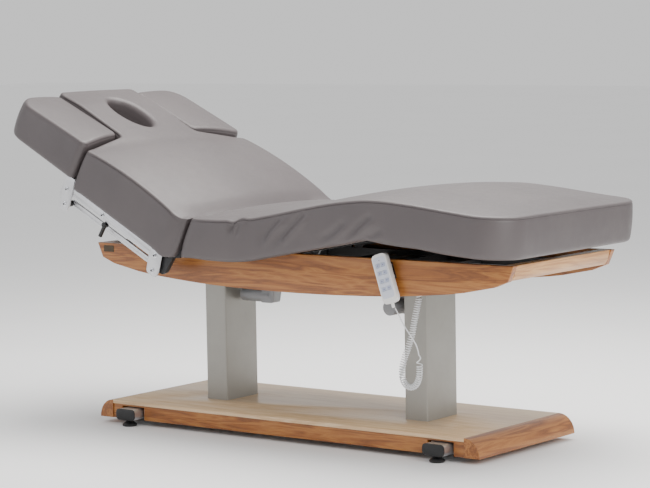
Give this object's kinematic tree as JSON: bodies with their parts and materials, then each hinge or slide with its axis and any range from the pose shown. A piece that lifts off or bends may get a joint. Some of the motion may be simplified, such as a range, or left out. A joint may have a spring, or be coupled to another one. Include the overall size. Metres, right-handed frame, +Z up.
{
  "type": "facial treatment bed",
  "caption": "Electric facial treatment bed: upholstered tilting back with face opening and armrests, seat, coupled leg section, wooden deck, lifting columns and plinth.",
  "frame": {"origin": "on the floor, under the middle of the whole bed in plan, at the height of the foot pads", "axes": "+X from the head end to the foot end, +Y from the side with the handset to the far side, +Z up"},
  "size_m": [1.9822, 0.8, 1.0945],
  "materials": {
    "leather": "satin",
    "wood": "satin",
    "pale_wood": "satin",
    "silver": "satin",
    "column_paint": "satin",
    "black_steel": "satin",
    "black_plastic": "matte",
    "grey_plastic": "matte",
    "white_plastic": "satin",
    "key_blue": "satin",
    "cord_white": "satin"
  },
  "bodies": {
    "base": {"base_chassis": "silver", "base_top_panel": "pale_wood", "base_apron_near": "wood", "base_apron_far": "wood", "base_end_head": "wood", "base_end_foot": "wood", "tube_cap_head_near": "black_plastic", "tube_cap_head_far": "black_plastic", "tube_cap_foot_near": "black_plastic", "tube_cap_foot_far": "black_plastic", "column_outer_head": "column_paint", "column_outer_foot": "column_paint"},
    "deck": {"deck_frame": "black_steel", "side_board_near": "wood", "side_board_far": "wood", "end_board_head": "wood", "end_board_foot": "pale_wood", "control_box": "black_plastic", "column_inner_head": "silver", "column_inner_foot": "silver", "seat_cushion": "leather", "handset_hook": "black_steel", "cord_gland": "black_plastic", "cord_curly": "cord_white", "cord_lead": "cord_white"},
    "back": {"back_frame": "black_steel", "back_cushion": "leather", "arm_bracket_near": "silver", "arm_bracket_far": "silver"},
    "thigh": {"thigh_frame": "black_steel", "thigh_cushion": "leather"},
    "calf": {"calf_frame": "black_steel", "calf_cushion": "leather"},
    "back_motor": {"back_motor": "grey_plastic"},
    "back_motor_rod": {"back_motor_rod": "silver"},
    "leg_motor": {"leg_motor": "grey_plastic"},
    "leg_motor_rod": {"leg_motor_rod": "silver"},
    "handset": {"handset_case": "white_plastic"},
    "foot_head_near": {"leveling_foot_head_near": "black_plastic"},
    "foot_head_far": {"leveling_foot_head_far": "black_plastic"},
    "foot_foot_near": {"leveling_foot_foot_near": "black_plastic"},
    "foot_foot_far": {"leveling_foot_foot_far": "black_plastic"},
    "arm_upper_near": {"arm_link_upper_near": "silver"},
    "arm_lower_near": {"arm_link_lower_near": "silver"},
    "armrest_near": {"arm_plate_near": "silver", "arm_cushion_near": "leather"},
    "arm_lever_near": {"arm_lock_lever_near": "black_plastic"},
    "arm_upper_far": {"arm_link_upper_far": "silver"},
    "arm_lower_far": {"arm_link_lower_far": "silver"},
    "armrest_far": {"arm_plate_far": "silver", "arm_cushion_far": "leather"},
    "arm_lever_far": {"arm_lock_lever_far": "black_plastic"},
    "key_height_up": {"key_height_up": "key_blue"},
    "key_height_down": {"key_height_down": "key_blue"},
    "key_back_up": {"key_back_up": "key_blue"},
    "key_back_down": {"key_back_down": "key_blue"},
    "key_legs_up": {"key_legs_up": "key_blue"},
    "key_legs_down": {"key_legs_down": "key_blue"},
    "key_memory_up": {"key_memory_up": "key_blue"},
    "key_memory_down": {"key_memory_down": "key_blue"}
  },
  "joints": [
    {"name": "deck_lift", "type": "slide", "parent": "base", "child": "deck", "axis": [0, 0, 1], "range_m": [0, 0.28]},
    {"name": "foot_turn_head_near", "type": "hinge", "parent": "base", "child": "foot_head_near", "pos_m": [-0.56197, -0.281, 0], "axis": [0, 0, 1], "range_deg": [-180, 180]},
    {"name": "foot_turn_head_far", "type": "hinge", "parent": "base", "child": "foot_head_far", "pos_m": [-0.56197, 0.281, 0], "axis": [0, 0, 1], "range_deg": [-180, 180]},
    {"name": "foot_turn_foot_near", "type": "hinge", "parent": "base", "child": "foot_foot_near", "pos_m": [0.65603, -0.281, 0], "axis": [0, 0, 1], "range_deg": [-180, 180]},
    {"name": "foot_turn_foot_far", "type": "hinge", "parent": "base", "child": "foot_foot_far", "pos_m": [0.65603, 0.281, 0], "axis": [0, 0, 1], "range_deg": [-180, 180]},
    {"name": "back_tilt", "type": "hinge", "parent": "deck", "child": "back", "pos_m": [-0.25797, 0, 0.594], "axis": [0, 1, 0], "range_deg": [-28.2, 36.8]},
    {"name": "thigh_tilt", "type": "hinge", "parent": "deck", "child": "thigh", "pos_m": [0.01803, 0, 0.595], "axis": [0, -1, 0], "range_deg": [-10.5, 20]},
    {"name": "knee_tilt", "type": "hinge", "parent": "thigh", "child": "calf", "pos_m": [0.48114, 0, 0.68083], "axis": [0, -1, 0], "range_deg": [-29.6, 15.6]},
    {"name": "back_motor_tilt", "type": "hinge", "parent": "deck", "child": "back_motor", "pos_m": [-0.16797, 0, 0.47], "axis": [0, 1, 0], "range_deg": [-6, 8]},
    {"name": "back_rod_slide", "type": "slide", "parent": "back_motor", "child": "back_motor_rod", "axis": [-0.8165, 0, 0.5773], "range_m": [-0.024, 0.031]},
    {"name": "leg_motor_tilt", "type": "hinge", "parent": "deck", "child": "leg_motor", "pos_m": [0.32203, 0, 0.463], "axis": [0, -1, 0], "range_deg": [-1, 1.5]},
    {"name": "leg_rod_slide", "type": "slide", "parent": "leg_motor", "child": "leg_motor_rod", "axis": [-0.9785, 0, 0.2061], "range_m": [-0.026, 0.014]},
    {"name": "arm_swing_near", "type": "hinge", "parent": "back", "child": "arm_upper_near", "pos_m": [-0.34748, -0.375, 0.57732], "axis": [0, -1, 0], "range_deg": [0, 13]},
    {"name": "arm_level_near", "type": "hinge", "parent": "arm_upper_near", "child": "armrest_near", "pos_m": [-0.71851, -0.375, 0.77626], "axis": [0, -1, 0], "range_deg": [-13, 0]},
    {"name": "arm_lower_swing_near", "type": "hinge", "parent": "back", "child": "arm_lower_near", "pos_m": [-0.35958, -0.339, 0.52934], "axis": [0, -1, 0], "range_deg": [0, 13]},
    {"name": "arm_lock_near", "type": "hinge", "parent": "arm_upper_near", "child": "arm_lever_near", "pos_m": [-0.5624, -0.375, 0.66532], "axis": [0, 1, 0], "range_deg": [0, 20], "stiffness_Nm_per_rad": 0.5, "springref_deg": -5.73},
    {"name": "arm_swing_far", "type": "hinge", "parent": "back", "child": "arm_upper_far", "pos_m": [-0.34748, 0.375, 0.57732], "axis": [0, -1, 0], "range_deg": [0, 13]},
    {"name": "arm_level_far", "type": "hinge", "parent": "arm_upper_far", "child": "armrest_far", "pos_m": [-0.71851, 0.375, 0.77626], "axis": [0, -1, 0], "range_deg": [-13, 0]},
    {"name": "arm_lower_swing_far", "type": "hinge", "parent": "back", "child": "arm_lower_far", "pos_m": [-0.35958, 0.339, 0.52934], "axis": [0, -1, 0], "range_deg": [0, 13]},
    {"name": "arm_lock_far", "type": "hinge", "parent": "arm_upper_far", "child": "arm_lever_far", "pos_m": [-0.5624, 0.375, 0.66532], "axis": [0, 1, 0], "range_deg": [0, 20], "stiffness_Nm_per_rad": 0.5, "springref_deg": -5.73},
    {"name": "handset_lift", "type": "slide", "parent": "deck", "child": "handset", "axis": [-0.3057, 0, 0.9521], "range_m": [0, 0.012]},
    {"name": "key_height_up_press", "type": "slide", "parent": "handset", "child": "key_height_up", "axis": [0, 1, 0], "range_m": [0, 0.001], "stiffness_N_per_m": 300, "springref_m": -0.0005},
    {"name": "key_height_down_press", "type": "slide", "parent": "handset", "child": "key_height_down", "axis": [0, 1, 0], "range_m": [0, 0.001], "stiffness_N_per_m": 300, "springref_m": -0.0005},
    {"name": "key_back_up_press", "type": "slide", "parent": "handset", "child": "key_back_up", "axis": [0, 1, 0], "range_m": [0, 0.001], "stiffness_N_per_m": 300, "springref_m": -0.0005},
    {"name": "key_back_down_press", "type": "slide", "parent": "handset", "child": "key_back_down", "axis": [0, 1, 0], "range_m": [0, 0.001], "stiffness_N_per_m": 300, "springref_m": -0.0005},
    {"name": "key_legs_up_press", "type": "slide", "parent": "handset", "child": "key_legs_up", "axis": [0, 1, 0], "range_m": [0, 0.001], "stiffness_N_per_m": 300, "springref_m": -0.0005},
    {"name": "key_legs_down_press", "type": "slide", "parent": "handset", "child": "key_legs_down", "axis": [0, 1, 0], "range_m": [0, 0.001], "stiffness_N_per_m": 300, "springref_m": -0.0005},
    {"name": "key_memory_up_press", "type": "slide", "parent": "handset", "child": "key_memory_up", "axis": [0, 1, 0], "range_m": [0, 0.001], "stiffness_N_per_m": 300, "springref_m": -0.0005},
    {"name": "key_memory_down_press", "type": "slide", "parent": "handset", "child": "key_memory_down", "axis": [0, 1, 0], "range_m": [0, 0.001], "stiffness_N_per_m": 300, "springref_m": -0.0005}
  ],
  "couplings": [
    {"joint": "knee_tilt", "follows": "thigh_tilt", "ratio": -1.476},
    {"joint": "back_motor_tilt", "follows": "back_tilt", "ratio": 0.2013},
    {"joint": "back_rod_slide", "follows": "back_tilt", "m_per_rad": 0.04537},
    {"joint": "leg_motor_tilt", "follows": "thigh_tilt", "ratio": 0.0432},
    {"joint": "leg_rod_slide", "follows": "thigh_tilt", "m_per_rad": -0.06802},
    {"joint": "arm_level_near", "follows": "arm_swing_near", "ratio": -1},
    {"joint": "arm_lower_swing_near", "follows": "arm_swing_near", "ratio": 1},
    {"joint": "arm_level_far", "follows": "arm_swing_far", "ratio": -1},
    {"joint": "arm_lower_swing_far", "follows": "arm_swing_far", "ratio": 1}
  ]
}
